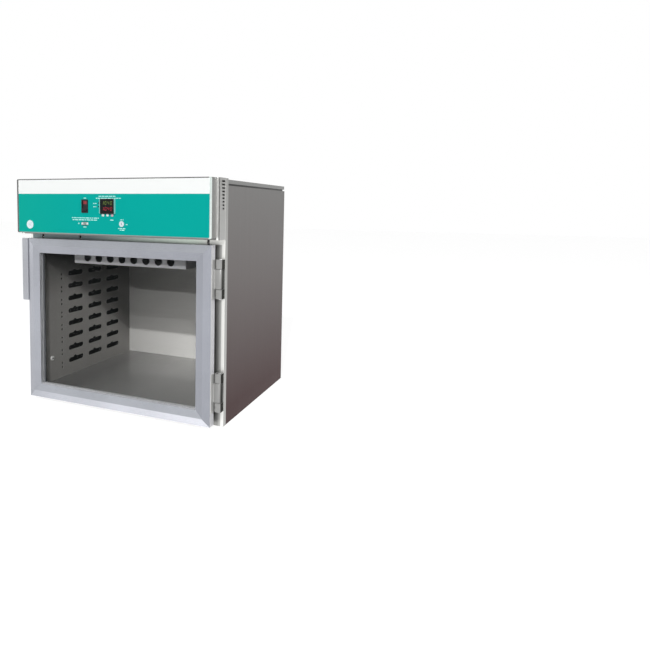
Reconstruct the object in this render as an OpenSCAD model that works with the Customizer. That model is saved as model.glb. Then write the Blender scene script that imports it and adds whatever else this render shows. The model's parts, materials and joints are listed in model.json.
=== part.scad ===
// Countertop warming cabinet with a glazed door and a control head.
// X runs to the right as seen from the front, Y to the back and Z up. Lengths are in millimetres.
// The origin is on the surface that the feet stand on, below the middle of the whole cabinet.

/* [Chamber] */
// Clear width of the heated chamber
chamber_w = 508; // [460:1:580]
// Clear depth of the heated chamber, from the front flange to the back wall
chamber_d = 432; // [400:1:520]
// Clear height of the heated chamber
chamber_h = 392; // [370:1:450]
// Thickness of the chamber's sheet metal
liner_t = 1.2; // [0.8:0.1:2]
// Air gap between the side liner and its insulation
plenum = 15; // [10:1:20]
// Thickness of the insulation above the chamber
roof_insulation = 30; // [22:1:40]

/* [Cabinet] */
// Distance from the chamber to the outside of the cabinet at each side
side_wall = 51; // [46:1:70]
// Distance from the chamber to the outside at the back
back_wall = 28; // [22:1:50]
// Height of the chamber floor above the base
floor_wall = 35; // [32:1:50]
// Height of the side panels above the chamber ceiling
top_space = 174; // [150:1:220]
// Thickness of the outer sheet metal
skin_t = 1.5; // [1:0.1:2]
// Depth of the front frame's side returns
frame_return = 16; // [10:1:25]
// Height of the lips of the base pan
pan_lip = 20; // [12:1:28]
// Width of the folded flanges of the side panels
panel_flange = 14; // [12:1:20]
// Height of the top cover's skirt
lid_h = 10; // [8:1:20]
// Dark groove below the top cover's skirt
lid_gap = 4.5; // [1.5:0.5:6]
// Inset of the top cover from the side panels
lid_inset = 1; // [0.5:0.5:3]
// Height of the rubber feet
foot_h = 10; // [6:1:20]
// Radius of the rubber feet
foot_r = 15; // [10:1:20]
// Distance of each foot's centre from the cabinet's edges
foot_inset = 48; // [40:1:70]

/* [Wall slots] */
// Rows of air slots in each side liner
slot_rows = 8; // [4:1:8]
// Columns of air slots in each side liner
slot_columns = 3; // [2:1:3]
// Distance from row to row
slot_pitch_z = 38.1; // [30:0.1:40]
// Distance from column to column
slot_pitch_y = 97; // [85:0.1:110]
// Length of one slot
slot_l = 70; // [40:1:75]
// Height of one slot
slot_h = 14; // [8:0.5:15]
// Radius of the raised hump above each slot
slot_hump_r = 9; // [6:0.5:10]
// Height of the lowest row above the chamber floor
slot_low_z = 43; // [30:1:50]
// Distance of the first column's centre from the front flange
slot_first_y = 135; // [120:1:150]
// Radius of the small paired holes beside the slots
pair_hole_r = 3.5; // [1:0.5:4]
// Distance between the two holes of a pair
pair_pitch = 12.6; // [10:0.2:16]
// Distance of the paired holes from the front flange
pair_y = 70; // [60:1:85]

/* [Door] */
// Lap of the door past the chamber opening on each side
door_lap = 29.5; // [26:0.5:36]
// Face width of the door's rails and stiles
rail_w = 40; // [36:1:46]
// Depth of the rails at their outer edge
rail_edge_d = 22; // [21:0.5:26]
// Depth of the rails at the ridge
rail_ridge_d = 27; // [25:0.5:32]
// Depth of the rails at the inner edge
rail_inner_d = 23; // [22:0.5:26]
// Distance of the ridge from the outer edge
rail_ridge_u = 20; // [15:1:24]
// Width of the rebate that holds the glazing
rebate_w = 10; // [8:0.5:14]
// Depth of the rebate
rebate_d = 20; // [18:0.5:20.5]
// Thickness of the outer glass
outer_glass_t = 4; // [3:0.5:5]
// Thickness of the inner glass
inner_glass_t = 3.5; // [3:0.5:4.5]
// Depth of the rubber glazing seal round the outer glass
seal_d = 10; // [8:0.5:11]
// Cover of the glazing seal over the edge of the glass
seal_lap = 6; // [4:0.5:7]
// Thickness of the closed door gasket
gasket_t = 11; // [8:0.5:14]
// Width of the door gasket
gasket_w = 16; // [10:1:18]
// Distance of the gasket from the door's outer edge
gasket_inset = 8; // [5:1:11]

/* [Handle] */
// Length of the pull handle
handle_l = 175; // [120:1:260]
// Reach of the pull handle past the door's edge
handle_reach = 20; // [14:1:21]
// Thickness of the pull handle's metal
handle_t = 2.5; // [2:0.5:4]
// Radius of the pull handle's outer corners
handle_corner = 3; // [1:0.5:6]

/* [Hinges] */
// Height of one hinge
hinge_h = 97; // [80:1:120]
// Height of the end knuckles of a hinge
end_knuckle_h = 23.5; // [18:0.5:28]
// Width of the hinge knuckles
knuckle_w = 15; // [13:0.5:16]
// Depth of the end knuckles in front of the hinge axis
knuckle_front = 8; // [7:0.5:9]
// Distance of the hinge axis in front of the flange
hinge_off_y = 10.5; // [10:0.25:12]
// Radius of the hinge pins
pin_r = 3; // [2:0.25:4]
// Distance of each hinge's centre from the end of the door
hinge_inset = 84; // [65:1:110]
// Thickness of the hinge leaves
leaf_t = 2; // [1.5:0.1:2.2]

/* [Control head] */
// Gap between the top of the door and the head
head_gap = 12.5; // [8:0.5:20]
// Radius of the head cover's corners
cover_r = 4; // [2:0.5:8]
// Height of the head above the top cover
head_rise = 3; // [1:0.5:8]
// Depth of the vented housing in front of the flange
housing_d = 34; // [30:1:45]
// Depth of the front cover box in front of the housing
cover_d = 26; // [24:1:35]
// Inset of the front cover from the housing at each side
cover_inset = 9; // [4:1:12]
// Height of the front cover's bottom above the housing's bottom
cover_lift = 4; // [1:0.5:8]
// Thickness of the printed overlay
overlay_t = 0.8; // [0.4:0.1:1.5]
// Bare metal edge at each end of the overlay
overlay_edge = 6; // [2:0.5:8]
// Bare metal edge above and below the overlay
overlay_rim = 2.5; // [1:0.5:6]
// Corner radius of the overlay
overlay_r = 2; // [1:0.5:12]
// Number of vent slots in each end of the housing
vent_count = 9; // [4:1:10]
// Distance from vent slot to vent slot
vent_pitch = 8.2; // [7:0.1:9]
// Length of the longest vent slot
vent_l = 19; // [12:0.5:22]
// Height of a vent slot
vent_h = 4; // [2:0.5:5]

/* [Panel controls] */
// Middle of the display, to the right of the cabinet's middle
display_x = 4; // [-10:1:40]
// Height of the display's middle above the cover's bottom edge
display_z = 74; // [66:0.5:80]
// Clear width of the display window
window_w = 42.5; // [38:0.5:46]
// Clear height of the display window
window_h = 33.5; // [28:0.5:36]
// Rim of the display bezel
bezel_rim = 2.5; // [1.5:0.5:4]
// Height of the display bezel above the overlay
bezel_t = 4; // [3.5:0.5:6]
// Depth of the temperature controller behind the panel
controller_d = 63; // [45:1:80]
// Radius of the controller keys
key_r = 3.5; // [2.5:0.25:4]
// Distance from key to key
key_pitch = 14; // [11:0.5:15]
// Distance of the keys below the display's middle
key_drop = 22.5; // [21:0.5:24]
// Travel of a controller key
key_travel = 0.8; // [0.4:0.1:1]
// Middle of the rocker switch, to the left of the cabinet's middle
rocker_x = 67; // [55:1:90]
// Width of the rocker switch's bezel
rocker_w = 20; // [18:0.5:24]
// Height of the rocker switch's bezel
rocker_h = 34.5; // [33:0.5:40]
// Angle of the rocker to each side
rocker_angle = 8; // [4:1:9]
// Middle of the key switch, to the right of the cabinet's middle
key_switch_x = 47; // [42:1:70]
// Height of the key switch above the cover's bottom edge
key_switch_z = 30; // [22:1:36]
// Radius of the key switch's flange
key_switch_r = 7.25; // [6.5:0.25:9]
// Distance of the door lock from the cover's left edge
lock_inset = 47; // [30:1:60]
// Height of the door lock above the cover's bottom edge
lock_z = 23; // [18:1:30]
// Radius of the door lock's flange
lock_r = 11.5; // [10.5:0.5:14]
// Length of the lock's cam from its axis
lock_cam_l = 51; // [42:1:54]
// Height of the data socket above the cover's bottom edge
socket_z = 29; // [20:1:36]
// Width of the data socket's flange
socket_w = 20; // [18:0.5:24]

/* [Air system] */
// Width of the air duct below the ceiling
duct_w = 356; // [300:1:400]
// Height of the air duct
duct_h = 41; // [37:1:50]
// Distance of the duct's front from the front flange
duct_front = 36; // [25:1:50]
// Clearance between the duct and the back wall
duct_back_gap = 12; // [5:1:30]
// Number of outlet holes in the duct's front
outlet_count = 8; // [4:1:8]
// Distance from outlet to outlet
outlet_pitch = 38.1; // [30:0.1:40]
// Radius of an outlet hole
outlet_r = 11.5; // [8:0.5:12]
// Radius of the blower wheel
wheel_r = 60; // [45:1:68]
// Height of the blower wheel's blades
blade_h = 22; // [15:1:23]
// Number of blades
blade_count = 18; // [10:1:24]
// Radius of the blower shaft
shaft_r = 4; // [3:0.5:6]
// Radius of the blower motor
motor_r = 43; // [35:1:50]
// Height of the blower motor
motor_h = 62; // [45:1:80]
// Radius of the heater's ring
heater_ring_r = 85; // [80:1:100]
// Radius of the heater's tube
heater_r = 3.25; // [2.5:0.25:4]

/* [Hidden] */
$fn = 48;
// Stand-off of the top cover's inner lip from the edge of the flange that it rests on
lid_ledge = 9;

// Named clearances: loose fit, running fit and gap at the door gasket
fit = 0.3;
run = 0.05;
seat_gap = 0.3;
// Overlap of a cutting tool past the face that it cuts
cut = 1;

half_w = chamber_w / 2 + side_wall;
cabinet_d = chamber_d + back_wall;
ceiling_z = floor_wall + chamber_h;
side_h = ceiling_z + top_space;
lid_top = side_h + lid_gap + lid_h;
head_top = lid_top + head_rise;
deck_z = ceiling_z + liner_t + roof_insulation;
deck_top = deck_z + skin_t;
half_c = chamber_w / 2;
half_i = half_c + liner_t + plenum;

door_half = half_c + door_lap;
door_z0 = floor_wall - door_lap;
door_z1 = ceiling_z + door_lap;
door_back = -gasket_t - seat_gap;
knuckle_r = knuckle_w / 2;
hinge_x = half_w - knuckle_r;
hinge_off_x = hinge_x - door_half;
hinge_centres = [door_z0 + hinge_inset, door_z1 - hinge_inset];

head_z0 = door_z1 + head_gap;
cover_half = half_w - cover_inset;
cover_z0 = head_z0 + cover_lift;
cover_y = -housing_d - cover_d;
overlay_y = cover_y - overlay_t;
display_cz = cover_z0 + display_z;
key_z = display_cz - key_drop;
lock_x = -cover_half + lock_inset;
lock_cz = cover_z0 + lock_z;
socket_cz = cover_z0 + socket_z;
switch_cz = cover_z0 + key_switch_z;

// Middle of the hump, towards the front and up from the slot's middle
slot_hump_y = 5;
slot_hump_z = 2.5;

// Opening of the front frame behind the head, and the three slots in the frame above the door
wiring_side = 25;
wiring_rim = 15;
seam_slot_w = 6;
seam_x = door_half - gasket_inset - gasket_w;
seam_slots = [-seam_x, -seam_x / 2, seam_x];
// Rim of the housing behind the cover's edge
housing_rim = 14;
// Middle of the vents from the front flange, and how much shorter each lower vent is
vent_y = 13;
vent_step = 1.1;

// Gap between the knuckles, margin of the hinge leaf on the door's edge, and size of the pins' heads
knuckle_gap = 0.8;
leaf_edge = 1;
pin_head = 1.5;
// Shoulder of the end knuckles: its gap to the leaf on the door's edge, and its depth in front of the hinge axis
shoulder_gap = 1;
shoulder_front = 3;

// Controller case behind the panel
case_w = window_w + 2.5;
case_below = key_drop + key_r + 3;
case_above = window_h / 2 + 2.5;
neck_w = window_w + 1;
neck_h = window_h + 1;
window_t = 1.5;
window_sink = 0.5;
key_proud = 1.2;
key_pocket_d = 3;
pocket_spare = 0.4;

// Rocker switch
rocker_flange_t = 2;
rocker_body_d = 25;
rocker_corner_r = 1.5;
rocker_wall = 1.5;
rocker_pocket_d = 10;
rocker_pivot_back = 3.2;
rocker_pivot_r = 1.5;
rocker_body_w = rocker_w - 3;
rocker_body_h = rocker_h - 4;
paddle_w = rocker_body_w - 2 * rocker_wall - 2 * fit;
paddle_half = rocker_body_h / 2 - 2.05;
paddle_mid = 2.8;
paddle_end = 5;
paddle_back = 3;
lens_w = paddle_w - 3;
lens_low = paddle_half * 0.35;
lens_high = paddle_half - 0.8;
lens_t = 1.6;

// Key switch and door lock
switch_flange_t = 2;
switch_barrel_r = 5.8;
switch_plug_r = 4;
switch_barrel_l = 22;
switch_plug_l = 18;
plug_proud = 0.4;
key_slot = [1.3, 5, 5.5];
lock_flange_t = 2.2;
lock_barrel_r = 9;
lock_plug_r = 6.5;
lock_barrel_l = 11;
lock_stub_r = 4;
lock_cam_t = 2.5;
lock_cam_w = 14;
cam_room = 2;

// Data socket
socket_h = 9;
socket_flange_t = 1.6;
socket_body = [14.6, 16, 7.2];
socket_mouth = [12.6, 11, 5.2];
socket_tongue = [11, 7.5, 1.8];
socket_tongue_gap = 0.6;
socket_corner_r = 1.5;

// Parts on the deck: distance from the cabinet's side and from its back
part_side = 135;
part_x = half_w - part_side;
part_back = 115;
terminal_block = [70, 24, 24];
terminal_step = 14;
terminal_ledge = 8;
terminal_count = 6;
terminal_pitch = 11;
terminal_hole_r = 3.2;
relay_base = [60, 70, 6];
relay_case = [45, 58, 24];

// Power inlet in the back panel
inlet_x = -part_x;
inlet_up = 62;
inlet_flange = [31, 3, 24];
inlet_body = [27, 20, 19.6];
inlet_mouth = [24.4, 17, 16.6];
inlet_pin = [2, 11.5, 4];
inlet_pin_pitch = 7;
inlet_pin_z = 2.5;
inlet_corner_r = 3;
inlet_cz = deck_top + inlet_up;

// Vents of the back panel
back_vent_x = 30;
back_vent_apart = 180;
back_vent_up = 40;
back_vent_z = deck_top + back_vent_up;
back_vent_l = 60;

// Narrowing of the feet towards the floor
foot_taper = 2;

// Screws of the back panel
screw_r = 1.7;
screw_head_r = 3.5;
screw_head_t = 2;
screw_l = 3 * skin_t - fit;
screw_count = 5;
screw_x = half_w - skin_t - panel_flange / 2;
screw_end = 25;
screw_z0 = pan_lip + screw_end;
screw_pitch = (side_h - screw_z0 - screw_end) / (screw_count - 1);

// Air system
fan_y = (duct_front + chamber_d - duct_back_gap) / 2;
duct_back = chamber_d - duct_back_gap;
duct_z0 = ceiling_z - duct_h;
duct_flange = 10;
outlet_up = 17;
intake_r = 5;
intake_ring = 30;
wheel_gap = 4;
wheel_z0 = duct_z0 + liner_t + wheel_gap;
wheel_plate_t = 2;
wheel_hub_r = 11;
blade_t = 1.2;
blade_l = 16;
blade_rake = 35;
motor_rim = 14;
motor_flange_r = motor_r + motor_rim;
motor_flange_t = 2.5;
motor_cap = 8;
shaft_top = deck_top + motor_h - motor_cap;
shaft_hole_r = 10;
heater_z = duct_z0 + duct_h / 2;
heater_gap = 40;
heater_stud = 14;
heater_collar_r = 10;
heater_collar_t = 3;
heater_sleeve_r = heater_r + 1.25;
heater_hole_r = heater_sleeve_r + 1;
thermostat_r = 8.5;
thermostat_flange_r = 12;
thermostat_h = 11;
thermostat_x = 130;
thermostat_front = 60;
thermostat_y = fan_y - thermostat_front;
pocket_room = 2;
probe_y = 24;
probe_z = 103;
probe_r = 2.4;
probe_l = 18;
probe_out = 4.5;
bushing_r = 4;
bushing_flange_r = 6.5;
bushing_flange_t = 3;

// The whole cabinet is centred from its foremost face to its rearmost
front_reach = -overlay_y + bezel_t;
mid_y = (cabinet_d + inlet_flange[1] - front_reach) / 2;

// Moves a piece from the frame of the front flange and base to the frame of the whole cabinet
module placed() translate([0, -mid_y, foot_h]) children();

// Block between two corners
module block(low, high) translate(low) cube(high - low);

// Round bar along Y from one y to another
module bar_y(r, x, z, y0, y1) translate([x, y0, z]) rotate([-90, 0, 0]) cylinder(r = r, h = y1 - y0);

// Outline in X and Z, drawn out along Y
module prism_xz(points, y0, y1)
    translate([0, y1, 0]) rotate([90, 0, 0]) linear_extrude(y1 - y0) polygon(points);

// Plate in X and Z with round corners, centred on the Y axis
module plate_xz(w, h, r, y0, y1) translate([0, y1, 0]) rotate([90, 0, 0]) linear_extrude(y1 - y0) {
    square([w - 2 * r, h], center = true);
    square([w, h - 2 * r], center = true);
    for (x = [-1, 1], z = [-1, 1]) translate([x * (w / 2 - r), z * (h / 2 - r)]) circle(r);
}

// Flat slot with round ends, along the first axis
module slot_shape(l, h) {
    square([l - h, h], center = true);
    for (s = [-1, 1]) translate([s * (l - h) / 2, 0]) circle(h / 2);
}

// Cabinet body
module pan_shape(lift, inset) {
    x = half_w - skin_t - inset;
    block([-x, skin_t + inset, lift], [x, cabinet_d - 2 * skin_t - inset, pan_lip + lift]);
}

module base_pan() color("gray") placed() difference() {
    pan_shape(0, 0);
    pan_shape(skin_t, skin_t);
}

module side_panel(side) color([0.52, 0.51, 0.5]) placed() mirror([side < 0 ? 1 : 0, 0, 0]) {
    inner = half_w - skin_t;
    difference() {
        union() {
            block([inner, frame_return, 0], [half_w, cabinet_d, side_h]);
            block([half_w - panel_flange, frame_return, side_h - skin_t], [inner, cabinet_d, side_h]);
            block([half_w - panel_flange, cabinet_d - 2 * skin_t, pan_lip + skin_t],
                [inner, cabinet_d - skin_t, side_h - skin_t]);
        }
        block([half_w - panel_flange - cut, cabinet_d - skin_t, side_h - 2 * skin_t],
            [inner, cabinet_d + cut, side_h + cut]);
        back_screw_holes(1);
    }
}

module back_screw_holes(side) for (i = [0:screw_count - 1])
    bar_y(screw_r + fit, side * screw_x, screw_z0 + i * screw_pitch, cabinet_d - 3 * skin_t, cabinet_d + cut);

module back_panel() color([0.55, 0.55, 0.54]) placed() difference() {
    x = half_w - skin_t;
    flange_x = half_w - panel_flange;
    union() {
        block([-x, cabinet_d - skin_t, 0], [x, cabinet_d, side_h]);
        block([-flange_x, cabinet_d - panel_flange, side_h - skin_t], [flange_x, cabinet_d, side_h]);
    }
    for (s = [-1, 1]) back_screw_holes(s);
    translate([inlet_x, cabinet_d, inlet_cz])
        cube([inlet_body[0] + 2 * fit, 4 * skin_t, inlet_body[2] + 2 * fit], center = true);
    for (i = [0:vent_count - 1], s = [-1, 1])
        translate([back_vent_x + s * back_vent_apart / 2, cabinet_d + cut, back_vent_z + i * vent_pitch])
            rotate([90, 0, 0]) linear_extrude(4 * skin_t) slot_shape(back_vent_l, vent_h);
}

module top_cover() color([0.6, 0.6, 0.58]) placed() {
    x = half_w - lid_inset;
    y0 = frame_return + lid_inset;
    y1 = cabinet_d - lid_inset;
    ledge_x = half_w - panel_flange + lid_ledge;
    ledge_y = cabinet_d - panel_flange + lid_ledge;
    under = lid_top - skin_t;
    difference() {
        block([-x, y0, side_h + lid_gap], [x, y1, lid_top]);
        block([-x + skin_t, y0 + skin_t, side_h], [x - skin_t, y1 - skin_t, under]);
    }
    difference() {
        block([-ledge_x, y0 + skin_t, side_h], [ledge_x, ledge_y, under + skin_t / 2]);
        block([-ledge_x + skin_t, y0, side_h - cut], [ledge_x - skin_t, ledge_y - skin_t, under]);
    }
}

module front_frame() color([0.78, 0.78, 0.76]) placed() difference() {
    opening_x = half_w - wiring_side;
    block([-half_w, 0, 0], [half_w, frame_return, head_top]);
    block([-half_w + skin_t, skin_t, -cut], [half_w - skin_t, frame_return + cut, head_top - skin_t]);
    block([-half_c, -cut, floor_wall], [half_c, 2 * skin_t, ceiling_z]);
    block([-opening_x, -cut, head_z0 + wiring_rim], [opening_x, 2 * skin_t, head_top - wiring_rim]);
    for (x = seam_slots) translate([x, 0, door_z1 + head_gap / 2])
        cube([seam_slot_w, 4 * skin_t, head_gap + 2 * skin_t], center = true);
}

// Chamber
module side_slots() {
    for (c = [0:slot_columns - 1], r = [0:slot_rows - 1])
        translate([slot_first_y + c * slot_pitch_y, floor_wall + slot_low_z + r * slot_pitch_z]) {
            slot_shape(slot_l, slot_h);
            translate([-slot_hump_y, slot_hump_z]) circle(slot_hump_r);
        }
    for (r = [0:slot_rows - 1], p = [0, 1])
        translate([pair_y, floor_wall + slot_low_z + r * slot_pitch_z - p * pair_pitch]) circle(pair_hole_r);
}

// The sheet is drawn flat in Y and Z and turned up, with its inner face on the chamber's side
module side_liner(side, probe) color([0.5, 0.5, 0.48]) placed()
    translate([side < 0 ? -half_c - liner_t : half_c, 0, 0]) rotate([90, 0, 90]) linear_extrude(liner_t)
        difference() {
            translate([skin_t, floor_wall - liner_t])
                square([chamber_d + liner_t - skin_t, chamber_h + 2 * liner_t]);
            side_slots();
            if (probe) translate([probe_y, probe_z]) circle(bushing_r + run);
        }

module liner_floor() color([0.55, 0.55, 0.53]) placed()
    block([-half_c, skin_t, floor_wall - liner_t], [half_c, chamber_d, floor_wall]);

module liner_ceiling() color([0.5, 0.5, 0.48]) placed() difference() {
    block([-half_c, skin_t, ceiling_z], [half_c, chamber_d, ceiling_z + liner_t]);
    roof_holes(shaft_hole_r, heater_hole_r);
}

module liner_back() color([0.66, 0.66, 0.64]) placed()
    block([-half_c, chamber_d, floor_wall - liner_t], [half_c, chamber_d + liner_t, ceiling_z + liner_t]);

// Holes of the blower shaft and of the heater's legs through roof, insulation and deck
module roof_holes(shaft_r, leg_r) {
    translate([0, fan_y, ceiling_z - cut]) cylinder(r = shaft_r, h = deck_top - ceiling_z + 2 * cut);
    heater_legs(leg_r, ceiling_z - cut, deck_top + cut);
}

module heater_legs(r, z0, z1) for (s = [-1, 1])
    translate([s * heater_ring_r * sin(heater_gap / 2), fan_y + heater_ring_r * cos(heater_gap / 2), z0])
        cylinder(r = r, h = z1 - z0);

module insulation_side(side) color([0.06, 0.055, 0.05]) placed() mirror([side < 0 ? 1 : 0, 0, 0])
    block([half_i, 2 * skin_t, skin_t], [half_w - 2 * skin_t, cabinet_d - 3 * skin_t, deck_z]);

module insulation_back() color([0.06, 0.055, 0.05]) placed()
    block([-half_i, chamber_d + liner_t, skin_t], [half_i, cabinet_d - 3 * skin_t, deck_z]);

module insulation_floor() color([0.06, 0.055, 0.05]) placed()
    block([-half_i, 2 * skin_t, skin_t], [half_i, chamber_d + liner_t, floor_wall - liner_t]);

module insulation_top() color([0.06, 0.055, 0.05]) placed() difference() {
    block([-half_i, 2 * skin_t, ceiling_z + liner_t], [half_i, chamber_d + liner_t, deck_z]);
    roof_holes(shaft_hole_r, heater_hole_r);
    translate([thermostat_x, thermostat_y, ceiling_z])
        cylinder(r = thermostat_flange_r + pocket_room, h = thermostat_h + liner_t + pocket_room);
}

module component_deck() color([0.62, 0.62, 0.6]) placed() difference() {
    block([-half_w + skin_t, skin_t, deck_z], [half_w - skin_t, cabinet_d - 2 * skin_t, deck_top]);
    roof_holes(shaft_hole_r, heater_hole_r);
}

// Air system
module duct_box(inset, z0, z1) block([-duct_w / 2 + inset, duct_front + inset, z0],
    [duct_w / 2 - inset, duct_back - inset, z1]);

module air_duct() color([0.72, 0.72, 0.7]) placed() difference() {
    union() {
        duct_box(0, duct_z0, ceiling_z);
        duct_box_flanges();
    }
    duct_box(liner_t, duct_z0 + liner_t, ceiling_z + cut);
    for (i = [0:outlet_count - 1])
        bar_y(outlet_r, (i - (outlet_count - 1) / 2) * outlet_pitch, duct_z0 + outlet_up,
            duct_front - cut, duct_front + 2 * liner_t);
    for (ring = [0, 1], i = [0:ring * 5])
        rotate_about_fan(i * 60) translate([ring * intake_ring, 0, duct_z0 - cut])
            cylinder(r = intake_r, h = liner_t + 2 * cut);
}

module duct_box_flanges() for (s = [-1, 1]) mirror([s < 0 ? 1 : 0, 0, 0])
    block([duct_w / 2 - liner_t, duct_front, ceiling_z - liner_t],
        [duct_w / 2 + duct_flange, duct_back, ceiling_z]);

module rotate_about_fan(angle) translate([0, fan_y, 0]) rotate([0, 0, angle]) children();

module heater_element() color([0.35, 0.33, 0.3]) placed() {
    rotate_about_fan(90 + heater_gap / 2) translate([0, 0, heater_z])
        rotate_extrude(angle = 360 - heater_gap) translate([heater_ring_r, 0]) circle(heater_r);
    heater_legs(heater_sleeve_r, heater_z - heater_sleeve_r, deck_top + heater_stud);
    heater_legs(heater_collar_r, deck_top, deck_top + heater_collar_t);
}

module blower_motor() color([0.2, 0.2, 0.22]) placed() translate([0, fan_y, deck_top]) difference() {
    union() {
        cylinder(r = motor_flange_r, h = motor_flange_t);
        cylinder(r = motor_r, h = motor_h);
    }
    translate([0, 0, -cut]) cylinder(r = shaft_r + run, h = shaft_top - deck_top + 2 * cut);
}

module blower_shaft() color("silver") placed() translate([0, fan_y, wheel_z0])
    cylinder(r = shaft_r, h = shaft_top - wheel_z0);

module blower_wheel() color([0.6, 0.6, 0.6]) placed() translate([0, fan_y, wheel_z0]) difference() {
    union() {
        cylinder(r = wheel_hub_r, h = blade_h + wheel_plate_t);
        translate([0, 0, blade_h]) cylinder(r = wheel_r, h = wheel_plate_t);
        for (i = [0:blade_count - 1]) rotate([0, 0, i * 360 / blade_count])
            translate([wheel_r - blade_l, 0, 0]) rotate([0, 0, blade_rake])
                translate([0, -blade_t / 2, 0]) cube([blade_l, blade_t, blade_h + wheel_plate_t / 2]);
    }
    translate([0, 0, -cut]) cylinder(r = shaft_r + run, h = blade_h + wheel_plate_t + 2 * cut);
}

module temperature_probe() color("silver") placed() translate([-half_c + probe_out, probe_y, probe_z])
    rotate([0, -90, 0]) cylinder(r = probe_r, h = probe_l);

module probe_bushing() color("white") placed() translate([-half_c, probe_y, probe_z]) difference() {
    union() {
        rotate([0, 90, 0]) cylinder(r = bushing_flange_r, h = bushing_flange_t);
        rotate([0, -90, 0]) cylinder(r = bushing_r, h = liner_t + bushing_flange_t);
    }
    translate([-probe_l, 0, 0]) rotate([0, 90, 0]) cylinder(r = probe_r + run, h = 2 * probe_l);
}

module limit_thermostat() color([0.8, 0.78, 0.7]) placed()
    translate([thermostat_x, thermostat_y, ceiling_z + liner_t]) {
        cylinder(r = thermostat_flange_r, h = skin_t);
        cylinder(r = thermostat_r, h = thermostat_h);
    }

// Control head
module housing_box(inset, y1) block([-half_w + inset, -housing_d + inset, head_z0 + inset],
    [half_w - inset, y1, head_top - inset]);

module head_housing() color([0.58, 0.57, 0.55]) placed() difference() {
    rim = cover_inset + housing_rim;
    housing_box(0, 0);
    housing_box(skin_t, cut);
    block([-half_w + rim, -housing_d - cut, cover_z0 + housing_rim],
        [half_w - rim, 0, head_top - housing_rim]);
    for (i = [0:vent_count - 1], s = [-1, 1])
        translate([s * half_w, -vent_y, head_top - vent_pitch * (i + 1)]) rotate([90, 0, 90])
            translate([0, 0, -3 * skin_t]) linear_extrude(6 * skin_t)
                slot_shape(vent_l - i * vent_step, vent_h);
}

module cover_box(inset, y1) translate([0, 0, (cover_z0 + head_top) / 2])
    plate_xz(2 * (cover_half - inset), head_top - cover_z0 - 2 * inset, cover_r - inset, cover_y + inset, y1);

module head_cover() color([0.6, 0.59, 0.57]) placed() difference() {
    cover_box(0, -housing_d);
    cover_box(skin_t, -housing_d + cut);
    panel_holes();
    block([lock_x - lock_cam_w / 2 - cam_room, cam_y() - cam_room, cover_z0 - cut],
        [lock_x + lock_cam_l + cam_room, cam_y() + lock_cam_t + cam_room, cover_z0 + 2 * skin_t]);
}

// Holes of the controls through the cover and the overlay
module panel_holes() {
    y0 = overlay_y - cut;
    y1 = cover_y + 2 * skin_t;
    block([display_x - neck_w / 2 - fit, y0, display_cz - neck_h / 2 - fit],
        [display_x + neck_w / 2 + fit, y1, display_cz + neck_h / 2 + fit]);
    for (i = [-1:1]) bar_y(key_r + fit, display_x + i * key_pitch, key_z, y0, y1);
    block([-rocker_x - rocker_body_w / 2 - fit, y0, display_cz - rocker_body_h / 2 - fit],
        [-rocker_x + rocker_body_w / 2 + fit, y1, display_cz + rocker_body_h / 2 + fit]);
    block([-rocker_x - socket_body[0] / 2 - fit, y0, socket_cz - socket_body[2] / 2 - fit],
        [-rocker_x + socket_body[0] / 2 + fit, y1, socket_cz + socket_body[2] / 2 + fit]);
    bar_y(switch_barrel_r + fit, key_switch_x, switch_cz, y0, y1);
    bar_y(lock_barrel_r + fit, lock_x, lock_cz, y0, y1);
}

module front_overlay() color([0.01, 0.66, 0.62]) placed() difference() {
    w = 2 * (cover_half - overlay_edge);
    h = head_top - cover_z0 - 2 * overlay_rim;
    translate([0, 0, (cover_z0 + head_top) / 2]) plate_xz(w, h, overlay_r, overlay_y, cover_y);
    panel_holes();
}

module controller_case() color([0.8, 0.82, 0.82]) placed() translate([display_x, 0, display_cz]) {
    bezel_w = window_w + 2 * bezel_rim;
    bezel_h = window_h + 2 * bezel_rim;
    front = overlay_y - bezel_t;
    back = cover_y + skin_t;
    pocket = key_proud + key_travel + key_pocket_d + pocket_spare;
    difference() {
        union() {
            plate_xz(bezel_w, bezel_h, bezel_rim, front, overlay_y);
            block([-neck_w / 2, overlay_y - cut, -neck_h / 2], [neck_w / 2, back + cut, neck_h / 2]);
            block([-case_w / 2, back, -case_below], [case_w / 2, back + controller_d, case_above]);
        }
        block([-window_w / 2 - fit, front - cut, -window_h / 2 - fit],
            [window_w / 2 + fit, front + window_sink + window_t, window_h / 2 + fit]);
        for (i = [-1:1])
            bar_y(key_r + fit, i * key_pitch, -key_drop, overlay_y - key_proud, overlay_y + pocket);
    }
}

module controller_window() color([0.02, 0.03, 0.03]) placed()
    translate([display_x, overlay_y - bezel_t + window_sink, display_cz])
        block([-window_w / 2, 0, -window_h / 2], [window_w / 2, window_t, window_h / 2]);

module controller_key(i) placed()
    bar_y(key_r, display_x + i * key_pitch, key_z, overlay_y - key_proud, overlay_y + key_pocket_d);

// Rocker switch, drawn about its pivot
module at_rocker() translate([-rocker_x, overlay_y + rocker_pivot_back, display_cz]) children();

// The paddle is drawn pressed in at the top
module at_paddle() placed() at_rocker() rotate([-rocker_angle, 0, 0]) children();

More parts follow.
